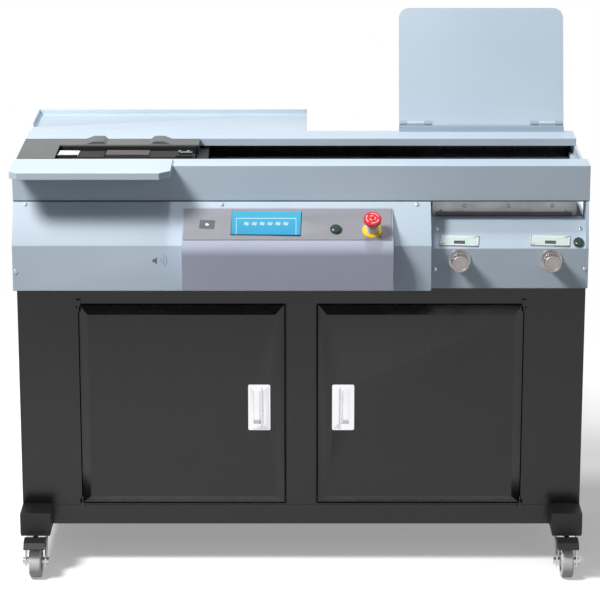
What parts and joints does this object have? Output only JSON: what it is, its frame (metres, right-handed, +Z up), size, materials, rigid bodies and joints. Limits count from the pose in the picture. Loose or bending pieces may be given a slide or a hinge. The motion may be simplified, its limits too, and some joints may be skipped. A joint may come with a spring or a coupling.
{
  "type": "perfect binding machine",
  "caption": "Floor-standing book binder: clamp carriage over a cutter, glue rollers and a nip station, on a cabinet with doors and casters.",
  "frame": {"origin": "on the floor, under the middle of the machine's box", "axes": "+X to the operator's right along the carriage's travel, +Y to the back, +Z up"},
  "size_m": [1.29, 0.672, 1.2338],
  "materials": {
    "housing_paint": "pale blue-grey powder coat",
    "console_paint": "mid grey powder coat",
    "panel_film": "satin grey panel",
    "screen": "lit cyan screen in a thin frame",
    "cabinet_paint": "charcoal powder coat",
    "bare_steel": "ground steel",
    "rod_steel": "hard chromed",
    "pull_chrome": "satin chrome",
    "carriage_paint": "grey enamel",
    "black_steel": "blackened steel",
    "machine_grey": "hammered grey enamel",
    "profile_aluminium": "anodised",
    "counter_plastic": "pale mint moulded plastic with a black window",
    "box_paint": "light beige enamel",
    "inlet_plastic": "black moulded plastic",
    "screw_zinc": "zinc plated",
    "estop_base": "yellow disc with a pale collar",
    "estop_red": "red moulded plastic",
    "button_green": "green lens",
    "caster_zinc": "bright zinc",
    "wheel_nylon": "white nylon",
    "pedal_black": "black plastic"
  },
  "bodies": {
    "frame": {"outriggers": "cabinet_paint", "cabinet_floor": "cabinet_paint", "cabinet_front_frame": "cabinet_paint", "cabinet_walls": "cabinet_paint", "deck_plate": "bare_steel", "end_plates": "housing_paint", "front_fascia": "housing_paint", "lower_front_cover": "housing_paint", "control_console": "console_paint", "control_panel": "panel_film", "touch_screen": "screen", "estop_collar": "estop_base", "loading_table": "housing_paint", "rear_rail": "housing_paint", "rear_tray": "housing_paint", "nip_station_cover": "housing_paint", "counter_units": "counter_plastic", "guide_rods": "rod_steel", "cutter_motor": "machine_grey", "glue_tank": "machine_grey", "roller_motor": "machine_grey", "nip_base": "bare_steel", "lid_bracket": "housing_paint", "chip_bin": "bare_steel", "electrical_box": "box_paint", "power_inlet": "inlet_plastic", "linear_drive": "profile_aluminium", "drive_motor": "machine_grey", "cover_screws": "screw_zinc"},
    "left_door": {"left_door": "cabinet_paint", "left_door_handle": "pull_chrome"},
    "right_door": {"right_door": "cabinet_paint", "right_door_handle": "pull_chrome"},
    "estop_stem": {"estop_stem": "rod_steel"},
    "estop_head": {"estop_head": "estop_red"},
    "start_button": {"start_button": "button_green"},
    "side_button": {"side_button": "button_green"},
    "left_knob": {"left_knob": "profile_aluminium"},
    "right_knob": {"right_knob": "profile_aluminium"},
    "carriage": {"carriage_plate": "carriage_paint", "carriage_frame": "black_steel", "clamp_rear_jaw": "black_steel"},
    "front_jaw": {"clamp_front_jaw": "black_steel"},
    "cutter": {"cutter_disc": "bare_steel"},
    "first_roller": {"first_glue_roller": "bare_steel"},
    "second_roller": {"second_glue_roller": "bare_steel"},
    "nip_lift": {"nip_table": "bare_steel"},
    "nip_front": {"nip_front_jaw": "bare_steel"},
    "nip_rear": {"nip_rear_jaw": "bare_steel"},
    "lid": {"lid": "housing_paint"},
    "front_left_fork": {"front_left_fork": "caster_zinc"},
    "front_left_wheel": {"front_left_wheel": "wheel_nylon"},
    "front_left_pedal": {"front_left_pedal": "pedal_black"},
    "front_right_fork": {"front_right_fork": "caster_zinc"},
    "front_right_wheel": {"front_right_wheel": "wheel_nylon"},
    "front_right_pedal": {"front_right_pedal": "pedal_black"},
    "rear_left_fork": {"rear_left_fork": "caster_zinc"},
    "rear_left_wheel": {"rear_left_wheel": "wheel_nylon"},
    "rear_right_fork": {"rear_right_fork": "caster_zinc"},
    "rear_right_wheel": {"rear_right_wheel": "wheel_nylon"}
  },
  "joints": [
    {"name": "left_door_hinge", "type": "hinge", "parent": "frame", "child": "left_door", "pos_m": [-0.505, -0.21603, 0.3895], "axis": [0, 0, -1], "range_deg": [0, 110]},
    {"name": "right_door_hinge", "type": "hinge", "parent": "frame", "child": "right_door", "pos_m": [0.505, -0.21603, 0.3895], "axis": [0, 0, 1], "range_deg": [0, 110]},
    {"name": "estop_press", "type": "slide", "parent": "frame", "child": "estop_stem", "axis": [0, 0.6037, -0.7972], "range_m": [0, 0.005]},
    {"name": "estop_twist", "type": "hinge", "parent": "estop_stem", "child": "estop_head", "pos_m": [0.1571, -0.31257, 0.84228], "axis": [0, 0.6037, -0.7972], "range_deg": [0, 35]},
    {"name": "start_button_press", "type": "slide", "parent": "frame", "child": "start_button", "axis": [0, 0.6037, -0.7972], "range_m": [0, 0.003], "stiffness_N_per_m": 300},
    {"name": "side_button_press", "type": "slide", "parent": "frame", "child": "side_button", "axis": [0, 0.774, -0.6332], "range_m": [0, 0.003], "stiffness_N_per_m": 300},
    {"name": "left_knob_turn", "type": "hinge", "parent": "frame", "child": "left_knob", "pos_m": [0.3543, -0.25503, 0.742], "axis": [0, 1, 0], "range_deg": [-1800, 1800]},
    {"name": "right_knob_turn", "type": "hinge", "parent": "frame", "child": "right_knob", "pos_m": [0.5594, -0.25503, 0.742], "axis": [0, 1, 0], "range_deg": [-1800, 1800]},
    {"name": "carriage_travel", "type": "slide", "parent": "frame", "child": "carriage", "axis": [1, 0, 0], "range_m": [0, 0.84]},
    {"name": "clamp_close", "type": "slide", "parent": "carriage", "child": "front_jaw", "axis": [0, 1, 0], "range_m": [0, 0.049]},
    {"name": "cutter_spin", "type": "hinge", "parent": "frame", "child": "cutter", "pos_m": [-0.13, -0.04003, 0.846], "axis": [0, 0, 1], "continuous": true},
    {"name": "first_roller_turn", "type": "hinge", "parent": "frame", "child": "first_roller", "pos_m": [0.06, -0.04003, 0.835], "axis": [0, 1, 0], "continuous": true},
    {"name": "second_roller_turn", "type": "hinge", "parent": "frame", "child": "second_roller", "pos_m": [0.14, -0.04003, 0.835], "axis": [0, 1, 0], "continuous": true},
    {"name": "nip_table_lift", "type": "slide", "parent": "frame", "child": "nip_lift", "axis": [0, 0, 1], "range_m": [0, 0.01]},
    {"name": "nip_front_close", "type": "slide", "parent": "nip_lift", "child": "nip_front", "axis": [0, 1, 0], "range_m": [0, 0.025]},
    {"name": "nip_rear_close", "type": "slide", "parent": "nip_lift", "child": "nip_rear", "axis": [0, 1, 0], "range_m": [-0.025, 0]},
    {"name": "lid_hinge", "type": "hinge", "parent": "frame", "child": "lid", "pos_m": [0.425, 0.13997, 0.9725], "axis": [1, 0, 0], "range_deg": [0, 107.5]},
    {"name": "front_left_swivel", "type": "hinge", "parent": "frame", "child": "front_left_fork", "pos_m": [-0.6085, -0.25003, 0.096], "axis": [0, 0, 1], "continuous": true},
    {"name": "front_left_wheel_spin", "type": "hinge", "parent": "front_left_fork", "child": "front_left_wheel", "pos_m": [-0.6085, -0.29003, 0.0375], "axis": [1, 0, 0], "continuous": true},
    {"name": "front_left_brake", "type": "hinge", "parent": "front_left_fork", "child": "front_left_pedal", "pos_m": [-0.6085, -0.28803, 0.09], "axis": [1, 0, 0], "range_deg": [0, 10]},
    {"name": "front_right_swivel", "type": "hinge", "parent": "frame", "child": "front_right_fork", "pos_m": [0.6085, -0.25003, 0.096], "axis": [0, 0, 1], "continuous": true},
    {"name": "front_right_wheel_spin", "type": "hinge", "parent": "front_right_fork", "child": "front_right_wheel", "pos_m": [0.6085, -0.29003, 0.0375], "axis": [1, 0, 0], "continuous": true},
    {"name": "front_right_brake", "type": "hinge", "parent": "front_right_fork", "child": "front_right_pedal", "pos_m": [0.6085, -0.28803, 0.09], "axis": [1, 0, 0], "range_deg": [0, 10]},
    {"name": "rear_left_swivel", "type": "hinge", "parent": "frame", "child": "rear_left_fork", "pos_m": [-0.6085, 0.17597, 0.096], "axis": [0, 0, 1], "continuous": true},
    {"name": "rear_left_wheel_spin", "type": "hinge", "parent": "rear_left_fork", "child": "rear_left_wheel", "pos_m": [-0.6085, 0.13597, 0.0375], "axis": [1, 0, 0], "continuous": true},
    {"name": "rear_right_swivel", "type": "hinge", "parent": "frame", "child": "rear_right_fork", "pos_m": [0.6085, 0.17597, 0.096], "axis": [0, 0, 1], "continuous": true},
    {"name": "rear_right_wheel_spin", "type": "hinge", "parent": "rear_right_fork", "child": "rear_right_wheel", "pos_m": [0.6085, 0.13597, 0.0375], "axis": [1, 0, 0], "continuous": true}
  ],
  "couplings": [
    {"joint": "second_roller_turn", "follows": "first_roller_turn", "ratio": 1},
    {"joint": "nip_rear_close", "follows": "nip_front_close", "ratio": -1}
  ]
}
